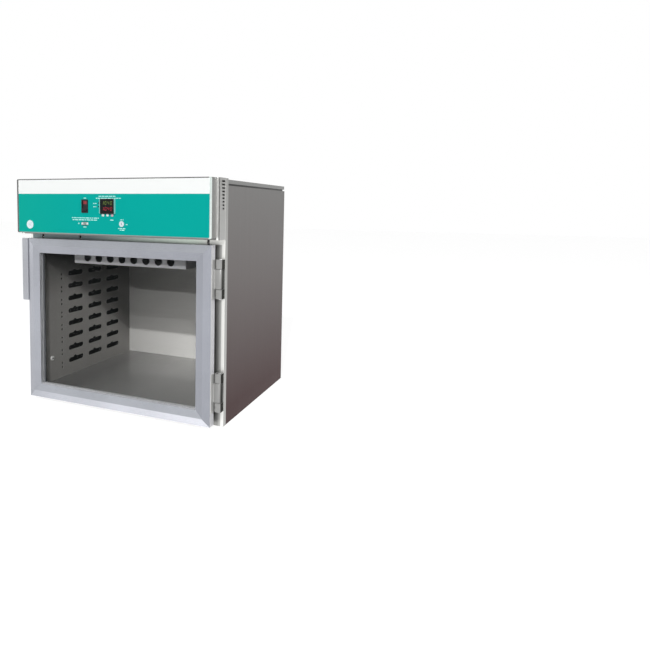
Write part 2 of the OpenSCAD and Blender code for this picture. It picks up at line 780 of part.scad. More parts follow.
module rocker_housing() color([0.05, 0.05, 0.06]) placed() at_rocker() difference() {
    front = -rocker_pivot_back - rocker_flange_t;
    inner_w = paddle_w + 2 * fit;
    inner_h = 2 * paddle_half + 1.6;
    union() {
        plate_xz(rocker_w, rocker_h, rocker_corner_r, front, -rocker_pivot_back);
        block([-rocker_body_w / 2, -rocker_pivot_back - cut, -rocker_body_h / 2],
            [rocker_body_w / 2, rocker_body_d - rocker_pivot_back, rocker_body_h / 2]);
    }
    block([-inner_w / 2, front - cut, -inner_h / 2], [inner_w / 2, front + rocker_pocket_d, inner_h / 2]);
    translate([-rocker_w / 2, 0, 0]) rotate([0, 90, 0]) cylinder(r = rocker_pivot_r + run, h = rocker_w);
}

// Outline of the rocker in Y and Z, with its raised ends towards the front
function rocker_face(z) = -paddle_mid - (paddle_end - paddle_mid) * abs(z) / paddle_half;

module bar_yz(points, w) translate([-w / 2, 0, 0]) rotate([90, 0, 90]) linear_extrude(w) polygon(points);

module lens_shape(w) bar_yz([[rocker_face(lens_low), lens_low], [rocker_face(lens_high), lens_high],
    [rocker_face(lens_high) + lens_t, lens_high], [rocker_face(lens_low) + lens_t, lens_low]], w);

module rocker_paddle() color([0.03, 0.03, 0.04]) at_paddle() difference() {
    union() {
        bar_yz([[-paddle_mid, 0], [-paddle_end, paddle_half], [0, paddle_half],
            [paddle_back, 0], [0, -paddle_half], [-paddle_end, -paddle_half]], paddle_w);
        translate([-rocker_body_w / 2, 0, 0]) rotate([0, 90, 0])
            cylinder(r = rocker_pivot_r, h = rocker_body_w);
    }
    lens_shape(lens_w);
}

module rocker_lens() color([0.8, 0.1, 0.12]) at_paddle() lens_shape(lens_w);

module data_socket() color([0.15, 0.16, 0.17]) placed() translate([-rocker_x, overlay_y, socket_cz]) {
    difference() {
        union() {
            plate_xz(socket_w, socket_h, socket_corner_r, -socket_flange_t, 0);
            block([-socket_body[0] / 2, -cut, -socket_body[2] / 2],
                [socket_body[0] / 2, socket_body[1], socket_body[2] / 2]);
        }
        block([-socket_mouth[0] / 2, -socket_flange_t - cut, -socket_mouth[2] / 2],
            [socket_mouth[0] / 2, socket_mouth[1], socket_mouth[2] / 2]);
    }
    tongue_top = socket_mouth[2] / 2 - socket_tongue_gap;
    block([-socket_tongue[0] / 2, socket_mouth[1] - socket_tongue[1], tongue_top - socket_tongue[2]],
        [socket_tongue[0] / 2, socket_mouth[1] + cut, tongue_top]);
}

// Key switch and door lock
module at_key_switch() placed() translate([key_switch_x, overlay_y, switch_cz]) children();

module key_switch_body() color("silver") at_key_switch() difference() {
    union() {
        bar_y(key_switch_r, 0, 0, -switch_flange_t, 0);
        bar_y(switch_barrel_r, 0, 0, -cut, switch_barrel_l);
    }
    bar_y(switch_plug_r + run, 0, 0, -switch_flange_t - cut, switch_plug_l + fit);
}

module key_switch_plug() color([0.75, 0.75, 0.77]) at_key_switch() difference() {
    bar_y(switch_plug_r, 0, 0, -switch_flange_t - plug_proud, switch_plug_l);
    key_slot_cut(-switch_flange_t - plug_proud);
}

module key_slot_cut(y) block([-key_slot[0] / 2, y - cut, -key_slot[2] / 2],
    [key_slot[0] / 2, y + key_slot[1], key_slot[2] / 2]);

function cam_y() = overlay_y + lock_barrel_l + fit;

module lock_body() color("silver") placed() translate([lock_x, overlay_y, lock_cz]) difference() {
    union() {
        bar_y(lock_r, 0, 0, -lock_flange_t, 0);
        bar_y(lock_barrel_r, 0, 0, -cut, lock_barrel_l);
    }
    bar_y(lock_plug_r + run, 0, 0, -lock_flange_t - cut, lock_barrel_l + cut);
}

module lock_plug() color([0.78, 0.78, 0.8]) placed() translate([lock_x, overlay_y, lock_cz]) difference() {
    union() {
        bar_y(lock_plug_r, 0, 0, -lock_flange_t - plug_proud, lock_barrel_l + fit);
        bar_y(lock_stub_r, 0, 0, lock_barrel_l, lock_barrel_l + fit + lock_cam_t);
    }
    key_slot_cut(-lock_flange_t - plug_proud);
}

module lock_cam() color("silver") placed() translate([lock_x, cam_y(), lock_cz]) difference() {
    union() {
        block([0, 0, -lock_cam_w / 2], [lock_cam_l, lock_cam_t, lock_cam_w / 2]);
        bar_y(lock_cam_w / 2, 0, 0, 0, lock_cam_t);
    }
    bar_y(lock_stub_r + run, 0, 0, -cut, lock_cam_t + cut);
}

// Electrical parts
module power_inlet() color([0.06, 0.06, 0.07]) placed() translate([inlet_x, cabinet_d, inlet_cz]) {
    difference() {
        union() {
            plate_xz(inlet_flange[0], inlet_flange[2], inlet_corner_r, 0, inlet_flange[1]);
            block([-inlet_body[0] / 2, -inlet_body[1], -inlet_body[2] / 2],
                [inlet_body[0] / 2, cut, inlet_body[2] / 2]);
        }
        block([-inlet_mouth[0] / 2, inlet_flange[1] - inlet_mouth[1], -inlet_mouth[2] / 2],
            [inlet_mouth[0] / 2, inlet_flange[1] + cut, inlet_mouth[2] / 2]);
    }
    pin_y = inlet_flange[1] - inlet_mouth[1] - cut;
    for (i = [-1:1]) translate([i * inlet_pin_pitch, pin_y, i == 0 ? inlet_pin_z : -inlet_pin_z])
        translate([-inlet_pin[0] / 2, 0, -inlet_pin[2] / 2]) cube(inlet_pin);
}

module terminal_block() color([0.85, 0.82, 0.72]) placed()
    translate([-part_x, cabinet_d - part_back, deck_top]) difference() {
        x = terminal_block[0] / 2;
        y = terminal_block[1] / 2;
        block([-x, -y, 0], [x, y, terminal_block[2]]);
        block([-x - cut, -y - cut, terminal_step], [x + cut, -y + terminal_ledge, terminal_block[2] + cut]);
        for (i = [0:terminal_count - 1])
            translate([(i - (terminal_count - 1) / 2) * terminal_pitch, terminal_ledge / 2, terminal_step])
                cylinder(r = terminal_hole_r, h = terminal_block[2]);
    }

module relay() color([0.12, 0.12, 0.14]) placed() translate([part_x, cabinet_d - part_back, deck_top]) {
    block([-relay_base[0] / 2, -relay_base[1] / 2, 0], [relay_base[0] / 2, relay_base[1] / 2, relay_base[2]]);
    block([-relay_case[0] / 2, -relay_case[1] / 2, relay_base[2]],
        [relay_case[0] / 2, relay_case[1] / 2, relay_base[2] + relay_case[2]]);
}

// Door
rail_profile = [[0, 0], [rail_w - rebate_w, 0], [rail_w - rebate_w, rebate_d], [rail_w, rebate_d],
    [rail_w, rail_inner_d], [rail_ridge_u, rail_ridge_d], [0, rail_edge_d]];

function mitre_y0() = door_back - rail_ridge_d - cut;

module stile(side) color([0.68, 0.69, 0.73]) placed() mirror([side > 0 ? 1 : 0, 0, 0]) intersection() {
    translate([0, 0, door_z0]) linear_extrude(door_z1 - door_z0)
        polygon([for (p = rail_profile) [-door_half + p[0], door_back - p[1]]]);
    prism_xz([[-door_half, door_z0], [-door_half + rail_w, door_z0 + rail_w],
        [-door_half + rail_w, door_z1 - rail_w], [-door_half, door_z1]], mitre_y0(), door_back + cut);
}

module rail(z_edge, way) color([0.68, 0.69, 0.73]) placed() intersection() {
    translate([-door_half, 0, 0]) rotate([90, 0, 90]) linear_extrude(2 * door_half)
        polygon([for (p = rail_profile) [door_back - p[1], z_edge + way * p[0]]]);
    prism_xz([[-door_half, z_edge], [door_half, z_edge],
        [door_half - rail_w, z_edge + way * rail_w], [-door_half + rail_w, z_edge + way * rail_w]],
        mitre_y0(), door_back + cut);
}

// Flat block of the door between two depths, inset from the door's outer edge
module door_block(inset, d0, d1) block([-door_half + inset, door_back - d1, door_z0 + inset],
    [door_half - inset, door_back - d0, door_z1 - inset]);

module door_ring(u0, u1, d0, d1) difference() {
    door_block(u0, d0, d1);
    door_block(u1, d0 - cut, d1 + cut);
}

rebate_u = rail_w - rebate_w;
seal_d0 = rebate_d - seal_d;
glass_u = rail_w - seal_lap;
glass_d0 = seal_d0 + (seal_d - outer_glass_t) / 2;

module outer_glass() color([0.8, 0.9, 0.9, 0.25]) placed()
    door_block(glass_u, glass_d0, glass_d0 + outer_glass_t);

module inner_glass() color([0.8, 0.9, 0.9, 0.25]) placed() door_block(rebate_u, 0, inner_glass_t);

module glass_spacer() color([0.75, 0.76, 0.78]) placed() door_ring(rebate_u, rail_w, inner_glass_t, seal_d0);

module glazing_seal() color([0.45, 0.46, 0.48]) placed() difference() {
    door_ring(rebate_u, rail_w, seal_d0, rebate_d);
    door_block(glass_u, glass_d0, glass_d0 + outer_glass_t);
}

module door_gasket() color([0.1, 0.1, 0.11]) placed()
    door_ring(gasket_inset, gasket_inset + gasket_w, -gasket_t, 0);

module door_handle() color([0.72, 0.73, 0.74]) placed() {
    front = door_back - rail_edge_d - handle_t;
    back = front + handle_t;
    x0 = -door_half - handle_reach;
    z0 = door_z1 - handle_l;
    block([x0 + handle_corner, front, z0], [-door_half, back, door_z1]);
    block([x0, front, z0 + handle_corner], [-door_half, back, door_z1 - handle_corner]);
    for (z = [z0 + handle_corner, door_z1 - handle_corner])
        bar_y(handle_corner, x0 + handle_corner, z, front, back);
    block([-door_half - handle_t, front, z0], [-door_half, door_back, door_z1]);
}

// Hinges
module at_hinges() for (z = hinge_centres) translate([hinge_x, -hinge_off_y, z]) children();

module hinge_frame_leaves() color([0.75, 0.75, 0.74]) placed() at_hinges() difference() {
    union() {
        block([-knuckle_r, hinge_off_y - leaf_t, -hinge_h / 2], [knuckle_r, hinge_off_y, hinge_h / 2]);
        for (s = [0, 1]) mirror([0, 0, s]) translate([0, 0, hinge_h / 2 - end_knuckle_h])
            union() {
                block([-knuckle_r, -knuckle_front, 0], [knuckle_r, hinge_off_y, end_knuckle_h]);
                block([leaf_t + shoulder_gap - hinge_off_x, -shoulder_front, 0], [0, hinge_off_y, end_knuckle_h]);
            }
    }
    translate([0, 0, -hinge_h]) cylinder(r = pin_r + run, h = 2 * hinge_h);
}

module hinge_door_leaves() color([0.74, 0.74, 0.73]) placed() at_hinges() difference() {
    half_h = hinge_h / 2 - end_knuckle_h - knuckle_gap;
    y1 = hinge_off_y + door_back - leaf_edge;
    y0 = hinge_off_y + door_back - rail_edge_d + leaf_edge;
    union() {
        cylinder(r = knuckle_r, h = 2 * half_h, center = true);
        block([-hinge_off_x, y0, -hinge_h / 2], [-hinge_off_x + leaf_t, y1, hinge_h / 2]);
        block([-hinge_off_x, -knuckle_r, -half_h], [0, y1, half_h]);
    }
    translate([0, 0, -hinge_h]) cylinder(r = pin_r + run, h = 2 * hinge_h);
}

module hinge_pins() color("silver") placed() at_hinges() {
    cylinder(r = pin_r, h = hinge_h, center = true);
    for (s = [0, 1]) mirror([0, 0, s]) translate([0, 0, hinge_h / 2])
        cylinder(r = pin_r + pin_head, h = pin_head);
}

// Feet and fasteners
module feet() color([0.08, 0.08, 0.08]) placed()
    for (s = [-1, 1], y = [foot_inset, cabinet_d - foot_inset])
        translate([s * (half_w - foot_inset), y, -foot_h])
            cylinder(r1 = foot_r - foot_taper, r2 = foot_r, h = foot_h);

module panel_screws() color("silver") placed()
    for (s = [-1, 1], i = [0:screw_count - 1]) {
        bar_y(screw_head_r, s * screw_x, screw_z0 + i * screw_pitch, cabinet_d, cabinet_d + screw_head_t);
        bar_y(screw_r, s * screw_x, screw_z0 + i * screw_pitch, cabinet_d - screw_l, cabinet_d + cut);
    }

base_pan();
side_panel(-1);  // left_side_panel
side_panel(1);  // right_side_panel
back_panel();
top_cover();
front_frame();
side_liner(-1, true);  // liner_left
side_liner(1, false);  // liner_right
liner_floor();
liner_ceiling();
liner_back();
insulation_side(-1);  // insulation_left
insulation_side(1);  // insulation_right
insulation_back();
insulation_top();
insulation_floor();
component_deck();
air_duct();
heater_element();
blower_motor();
blower_shaft();
blower_wheel();
temperature_probe();
probe_bushing();
limit_thermostat();
head_housing();
head_cover();
front_overlay();
controller_case();
controller_window();
color([0.9, 0.97, 0.96]) controller_key(-1);  // controller_key_left
color([0.9, 0.95, 0.95]) controller_key(0);  // controller_key_middle
color([0.85, 0.7, 0.76]) controller_key(1);  // controller_key_right
rocker_housing();
rocker_paddle();
rocker_lens();
data_socket();
key_switch_body();
key_switch_plug();
lock_body();
lock_plug();
lock_cam();
power_inlet();
terminal_block();
relay();
stile(-1);  // door_left_stile
stile(1);  // door_right_stile
rail(door_z1, -1);  // door_top_rail
rail(door_z0, 1);  // door_bottom_rail
outer_glass();
inner_glass();
glass_spacer();
glazing_seal();
door_gasket();
door_handle();
hinge_frame_leaves();
hinge_door_leaves();
hinge_pins();
feet();
panel_screws();
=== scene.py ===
"""Looks of a countertop warming cabinet: materials, small details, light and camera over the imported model."""
import json
import math
import random

import bmesh
import bpy
from mathutils import Matrix, Vector


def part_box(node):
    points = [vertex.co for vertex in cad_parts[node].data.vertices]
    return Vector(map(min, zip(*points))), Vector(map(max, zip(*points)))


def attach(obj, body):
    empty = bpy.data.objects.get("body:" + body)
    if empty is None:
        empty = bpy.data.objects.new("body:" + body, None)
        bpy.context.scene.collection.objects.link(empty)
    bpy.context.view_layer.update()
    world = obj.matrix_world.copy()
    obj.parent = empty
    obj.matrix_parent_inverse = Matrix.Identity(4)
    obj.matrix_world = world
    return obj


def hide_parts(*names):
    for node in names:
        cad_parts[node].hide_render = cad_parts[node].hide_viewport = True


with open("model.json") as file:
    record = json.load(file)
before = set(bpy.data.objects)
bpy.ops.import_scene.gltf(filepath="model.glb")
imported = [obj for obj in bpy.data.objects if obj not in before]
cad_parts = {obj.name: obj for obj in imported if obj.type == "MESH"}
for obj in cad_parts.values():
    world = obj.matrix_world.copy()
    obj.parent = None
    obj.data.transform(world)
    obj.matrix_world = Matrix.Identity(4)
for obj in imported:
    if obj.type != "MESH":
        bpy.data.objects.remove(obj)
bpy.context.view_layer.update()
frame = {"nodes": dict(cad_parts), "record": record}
NODES = frame["nodes"]

# The row frame is in metres, with x to the right, y to the back and z up. The part's source counts millimetres
# from the front flange and the base pan.
MM = 0.001
FLANGE_Y = -199.1
BASE_Z = 10.0

# The usual range of a noise's values
NOISE = (0.3, 0.7)


def row(x, y, z):
    """A place in the source's millimetres, in the row frame."""
    return Vector((x * MM, (y + FLANGE_Y) * MM, (z + BASE_Z) * MM))


# --- Shaders ---


class Graph:
    """Short calls for the nodes of one node tree."""

    def __init__(self, tree):
        self.nodes, self.links = tree.nodes, tree.links

    def node(self, kind, outlet=0, **feeds):
        """Adds a node, feeds its inputs by name with numbers or outlets, and returns one of its outlets."""
        made = self.nodes.new("ShaderNode" + kind)
        for key, value in feeds.items():
            self.feed(made.inputs[key.replace("_", " ")], value)
        return made.outputs[outlet]

    def feed(self, socket, value):
        """Links an outlet to a socket, or sets the socket's own value."""
        if isinstance(value, bpy.types.NodeSocket):
            self.links.new(value, socket)
        else:
            socket.default_value = value

    def math(self, operation, first, second=0.0):
        """One step of arithmetic."""
        made = self.nodes.new("ShaderNodeMath")
        made.operation = operation
        self.feed(made.inputs[0], first)
        self.feed(made.inputs[1], second)
        return made.outputs[0]

    def span(self, value, lo, hi, at_lo, at_hi):
        """Takes the range lo to hi to at_lo to at_hi, and stays there beyond it."""
        made = self.nodes.new("ShaderNodeMapRange")
        for key, number in (("From Min", lo), ("From Max", hi), ("To Min", at_lo), ("To Max", at_hi)):
            self.feed(made.inputs[key], number)
        self.feed(made.inputs["Value"], value)
        return made.outputs[0]

    def blend(self, share, first, second, kind="MIX"):
        """Mixes two colours by a share, or joins them as kind says."""
        made = self.nodes.new("ShaderNodeMix")
        made.data_type, made.blend_type = "RGBA", kind
        self.feed(made.inputs["Factor"], share)
        for socket, colour in ((made.inputs[6], first), (made.inputs[7], second)):
            self.feed(socket, (*colour, 1.0) if isinstance(colour, tuple) else colour)
        return made.outputs[2]

    def ramp(self, value, start, end, first, last):
        """Fades from one colour to another as a value goes from start to end."""
        return self.blend(self.span(value, start, end, 0.0, 1.0), first, last)

    def times(self, colour, factor):
        """A colour that a factor makes darker or lighter."""
        return self.blend(1.0, colour, factor, kind="MULTIPLY")

    def rays(self, *kinds):
        """1 for any of the named kinds of ray."""
        path = self.nodes.new("ShaderNodeLightPath")
        total = path.outputs["Is %s Ray" % kinds[0]]
        for kind in kinds[1:]:
            total = self.math("MAXIMUM", total, path.outputs["Is %s Ray" % kind])
        return total


class Shader(Graph):
    """One Principled material. Object coordinates are the row frame in metres."""

    def __init__(self, name, **values):
        self.mat = bpy.data.materials.new(name)
        self.mat.use_nodes = True
        super().__init__(self.mat.node_tree)
        self.bsdf = self.nodes["Principled BSDF"]
        self.give(**values)

    def give(self, **feeds):
        """Feeds the material's inputs by name."""
        for key, value in feeds.items():
            self.feed(self.bsdf.inputs[key.replace("_", " ")], value)

    def noise(self, stretch, detail=3.0, rough=0.55):
        """Uneven values, finer along an axis the larger its stretch is."""
        place = self.node("Mapping", Vector=self.node("TexCoord", outlet="Object"), Scale=stretch)
        return self.node("TexNoise", Vector=place, Scale=1.0, Detail=detail, Roughness=rough)

    def axis(self, which):
        """The place along an axis."""
        return self.node("SeparateXYZ", outlet=which, Vector=self.node("TexCoord", outlet="Object"))

    def facing(self, which):
        """How far the surface looks along an axis, from -1 to 1."""
        return self.node("SeparateXYZ", outlet=which, Vector=self.node("TexCoord", outlet="Normal"))

    def bump(self, height, strength, depth):
        """Shades the surface as if a height stood out of it."""
        self.give(Normal=self.node("Bump", Height=height, Strength=strength, Distance=depth))


def shade(colour, factor):
    """A darker or lighter colour."""
    return tuple(min(1.0, part * factor) for part in colour)


def plain(colour):
    """A colour that is the same all over."""
    return lambda made: colour


def fading(axis, first, last, start, end):
    """Fades from one colour to another between two places along an axis."""
    return lambda made: made.ramp(made.axis(axis), start, end, first, last)


def back_wall(made):
    """The chamber's back wall: painted shade, dimmer to the left and towards the top."""
    across = fading("X", (0.46, 0.455, 0.44), (0.88, 0.87, 0.84), start=-0.26, end=0.05)(made)
    return made.times(across, made.span(made.axis("Z"), 0.12, 0.33, 1.0, 0.6))


def side_wall(made):
    """The chamber's side walls: in shade below the ceiling, and further down towards the back."""
    down = fading("Z", (0.34, 0.33, 0.315), (0.055, 0.054, 0.052), start=0.28, end=0.43)(made)
    slope = made.math("ADD", made.axis("Z"), made.math("MULTIPLY", made.axis("Y"), 0.8))
    return made.times(down, made.span(slope, 0.24, 0.36, 1.0, 0.5))


def chamber_floor(made):
    """The chamber's floor: painted shade beside the left wall and towards the door, and towards the back a
    painted reflection of the lit back wall.
    """
    along = fading("Y", (0.34, 0.34, 0.33), (0.50, 0.495, 0.48), start=-0.15, end=0.2)(made)
    return made.times(along, made.span(made.axis("X"), -0.2, 0.02, 0.42, 1.0))


def on_front(made, front, other):
    """Painted light and shade by facing: one colour on the faces that look to the front and another on the
    rest.
    """
    return made.blend(made.span(made.facing("Y"), -0.8, -0.4, 1.0, 0.0), other, front)


def frame_face(made):
    """Front of the frame, in painted light and shade: bright rims, a grey field behind the door in painted
    shade, darkest in the gap at the door's edge, and the strip over the door in painted shadow of the head at
    the left with a painted reflection at the right.
    """
    bright = (0.76, 0.76, 0.73)
    # Where the field ends over the door, and where the rims begin at either side
    field_top, rim_from = (0.4655, 0.4665), (0.2960, 0.2972)
    # The strip over the door: painted shadow of the head at the left, painted reflection towards the right
    strip = made.ramp(made.axis("X"), -0.10, 0.22, (0.15, 0.19, 0.195), (0.76, 0.86, 0.77))
    strip = made.ramp(made.axis("X"), 0.22, 0.265, strip, bright)
    # The field behind the door: painted shade, darker in the gap beside the door's edge
    field = made.ramp(made.axis("X"), 0.2885, 0.2945, (0.25, 0.25, 0.24), (0.42, 0.42, 0.405))
    field = made.ramp(made.axis("Z"), *field_top, field, strip)
    rim = made.span(made.math("ABSOLUTE", made.axis("X")), *rim_from, 0.0, 1.0)
    return on_front(made, made.blend(rim, field, bright), (0.33, 0.33, 0.32))


def outer_face(made):
    """The cabinet's outer panels: darker and warmer towards their lower edge, a painted reflection of a dark
    warm floor.
    """
    return fading("Z", (0.068, 0.038, 0.038), (0.245, 0.24, 0.235), start=0.05, end=0.6)(made)


def hinge_face(made):
    """Hinges: bright on the leaf beside the door as painted light, and grey on the knuckles."""
    return fading("X", (0.55, 0.55, 0.54), (0.31, 0.31, 0.305), start=0.286, end=0.2865)(made)


def lid_face(made):
    """The top cover, whose inner lip is painted dark as the shade of the groove under its skirt."""
    return fading("Z", (0.025, 0.025, 0.024), (0.23, 0.23, 0.225), start=0.6150, end=0.6156)(made)


def housing_face(made):
    """The housing's front, in painted light and shade: a bright edge beside the cover painted as lit, and a dim
    one below it painted as shade.
    """
    across = made.math("ABSOLUTE", made.axis("X"))
    inner, outer = (0.2958, 0.2964), (0.3014, 0.3020)
    edge = made.math("MULTIPLY", made.span(across, *inner, 0.0, 1.0), made.span(across, *outer, 1.0, 0.0))
    front = made.blend(edge, (0.20, 0.20, 0.195), (0.86, 0.86, 0.84))
    return on_front(made, front, (0.36, 0.36, 0.35))


def cover_face(made):
    """The bare edge round the overlay, in painted light and shade: dark at the left as painted shade, dark
    above and grey below, and bright at the right as a painted highlight.
    """
    left, right = (-0.289, -0.287), (0.287, 0.289)
    level = made.ramp(made.axis("Z"), 0.5, 0.6, (0.26, 0.28, 0.275), (0.11, 0.11, 0.11))
    front = made.ramp(made.axis("X"), *left, (0.13, 0.13, 0.13), level)
    front = made.ramp(made.axis("X"), *right, front, (0.62, 0.69, 0.66))
    return on_front(made, front, (0.235, 0.235, 0.23))


def door_face(made):
    """Door rails, in painted light and shade: darker to the right, lighter where they tilt up as lit from
    above, bright along the door's bottom as a painted reflection of the floor, and brightest on the bottom
    rail's upward faces as painted light.
    """
    base = made.ramp(made.axis("X"), -0.28, 0.28, (0.33, 0.34, 0.375), (0.275, 0.285, 0.32))
    base = made.ramp(made.facing("Z"), 0.08, 0.2, base, (0.37, 0.385, 0.42))
    # Painted reflection of the floor on the bottom rail's downward faces, brighter to the right
    glow = made.ramp(made.axis("X"), -0.28, 0.25, (0.46, 0.475, 0.52), (0.73, 0.74, 0.80))
    under = made.span(made.facing("Z"), -0.25, -0.12, 1.0, 0.0)
    # Painted light on the bottom rail's upward faces
    ledge = made.span(made.facing("Z"), 0.8, 0.95, 0.0, 1.0)
    bottom_rail = 0.1
    low = made.math("LESS_THAN", made.axis("Z"), bottom_rail)
    base = made.blend(made.math("MULTIPLY", low, under), base, glow)
    return made.blend(made.math("MULTIPLY", low, ledge), base, (0.90, 0.91, 0.93))


def brushed(name, colour_of, along, rough=0.36, streak=0.12, **values):
    """Brushed steel: fine and coarse streaks along one axis over a colour."""
    made = Shader(name, **{"Metallic": 1.0, **values})
    fine, coarse = [900.0] * 3, [130.0] * 3
    fine["xyz".index(along)] = 9.0
    coarse["xyz".index(along)] = 2.5
    lines = made.noise(fine, detail=4.0, rough=0.7)
    bands = made.noise(coarse, detail=2.0)
    both = made.math("ADD", made.math("MULTIPLY", lines, 0.55), made.math("MULTIPLY", bands, 0.45))
    tone = made.span(both, *NOISE, 1.0 - 2 * streak, 1.0)
    base = made.times(colour_of(made), tone)
    made.give(Base_Color=base, Roughness=made.span(lines, 0.2, 0.8, rough - 0.07, rough + 0.09))
    made.bump(lines, strength=0.12, depth=0.0003)
    return made.mat


def satin_metal(name, colour_of, rough=0.38, metal=1.0, side=None, side_from=-1.0, **values):
    """Anodised or plated metal: fine grain, cloudy tone, and on sides beyond side_from its own tone, which
    paints light where it is lighter and shade where it is darker.
    """
    made = Shader(name, Metallic=metal, **values)
    colour = colour_of(made)
    speck = made.noise([1500.0] * 3, detail=2.0)
    cloud = made.span(made.noise([7.0] * 3), 0.35, 0.65, 0.94, 1.05)
    if side:
        turned = made.span(made.math("ABSOLUTE", made.facing("X")), 0.5, 0.9, 0.0, 1.0)
        turned = made.math("MULTIPLY", turned, made.math("GREATER_THAN", made.axis("X"), side_from))
        colour = made.blend(turned, colour, side)
        made.give(Metallic=made.span(turned, 0.0, 1.0, metal, 0.0))
    made.give(Base_Color=made.times(colour, cloud),
              Roughness=made.span(speck, *NOISE, rough - 0.05, rough + 0.06))
    made.bump(speck, strength=0.08, depth=0.0002)
    return made.mat


def moulded(name, colour, rough=0.42, grain=900.0, rise=0.10, top=None, **values):
    """Moulded plastic or rubber: a fine cast texture, a little change of tone, and on top its own lighter tone,
    painted as light from above.
    """
    made = Shader(name, **values)
    texture = made.noise([grain] * 3)
    cloud = made.noise([30.0] * 3, detail=2.0)
    base = made.ramp(cloud, *NOISE, shade(colour, 0.9), shade(colour, 1.1))
    if top:
        base = made.ramp(made.facing("Z"), 0.3, 0.7, base, top)
    made.give(Base_Color=base, Roughness=made.span(texture, *NOISE, rough - 0.06, rough + 0.08))
    made.bump(texture, strength=rise, depth=0.0002)
    return made.mat


def two_tone(name, inner, outer, axis, middle, half):
    """Moulding with one colour within half of its middle along an axis, and another beyond."""
    made = Shader(name, Specular_IOR_Level=0.3)
    texture = made.noise([900.0] * 3)
    away = made.math("ABSOLUTE", made.math("SUBTRACT", made.axis(axis), middle))
    made.give(Base_Color=made.ramp(away, half - 0.0003, half + 0.0003, inner, outer),
              Roughness=made.span(texture, *NOISE, 0.38, 0.5))
    made.bump(texture, strength=0.1, depth=0.0002)
    return made.mat


def printed_film(name, teal, left_teal, white, band_z):
    """Satin overlay film: a white band above band_z and teal below it, greener towards the left."""
    made = Shader(name, Specular_IOR_Level=0.06)
    grain = made.noise([1400.0] * 3, detail=2.0)
    field = made.ramp(made.axis("X"), -0.3, -0.1, left_teal, teal)
    field = made.blend(made.span(made.noise([5.0] * 3), *NOISE, 0.0, 0.25), field, shade(teal, 1.12))
    base = made.ramp(made.axis("Z"), band_z - 0.0004, band_z + 0.0004, field, white)
    made.give(Base_Color=base, Roughness=made.span(grain, *NOISE, 0.36, 0.5))
    made.bump(grain, strength=0.06, depth=0.0001)
    return made.mat


def clear_glass(name, tint):
    """Clear glass as a thin film: mostly see-through, and glossy towards grazing angles."""
    made = Shader(name, Base_Color=(*tint, 1.0), IOR=1.5, Specular_IOR_Level=0.25)
    inside = made.node("NewGeometry", outlet="Backfacing")
    edge = made.node("Fresnel", IOR=made.span(inside, 0.0, 1.0, 1.5, 1 / 1.5))
    haze = made.noise([18.0] * 3)
    made.give(Alpha=made.span(edge, 0.04, 0.6, 0.015, 0.35), Roughness=made.span(haze, *NOISE, 0.01, 0.03))
    return made.mat


def fibre(name, colour):
    """Fibre board: loose light and dark strands."""
    made = Shader(name, Specular_IOR_Level=0.1)
    strands = made.noise([600.0, 140.0, 600.0], detail=5.0, rough=0.7)
    base = made.ramp(strands, *NOISE, shade(colour, 0.6), shade(colour, 1.4))
    made.give(Base_Color=base, Roughness=made.span(strands, *NOISE, 0.85, 0.98))
    made.bump(strands, strength=0.5, depth=0.001)
    return made.mat


def glowing(name, colour, strength):
    """A lit display segment: a little uneven along its length."""
    made = Shader(name, Roughness=0.4, Emission_Strength=strength)
    flicker = made.noise([700.0] * 3, detail=1.0)
    base = made.ramp(flicker, *NOISE, shade(colour, 0.75), colour)
    made.give(Base_Color=base, Emission_Color=base)
    return made.mat


TEAL = (0.001, 0.39, 0.343)
LEFT_TEAL = (0.002, 0.395, 0.315)
BAND_WHITE = (0.93, 0.95, 0.94)
BAND_Z = 0.589


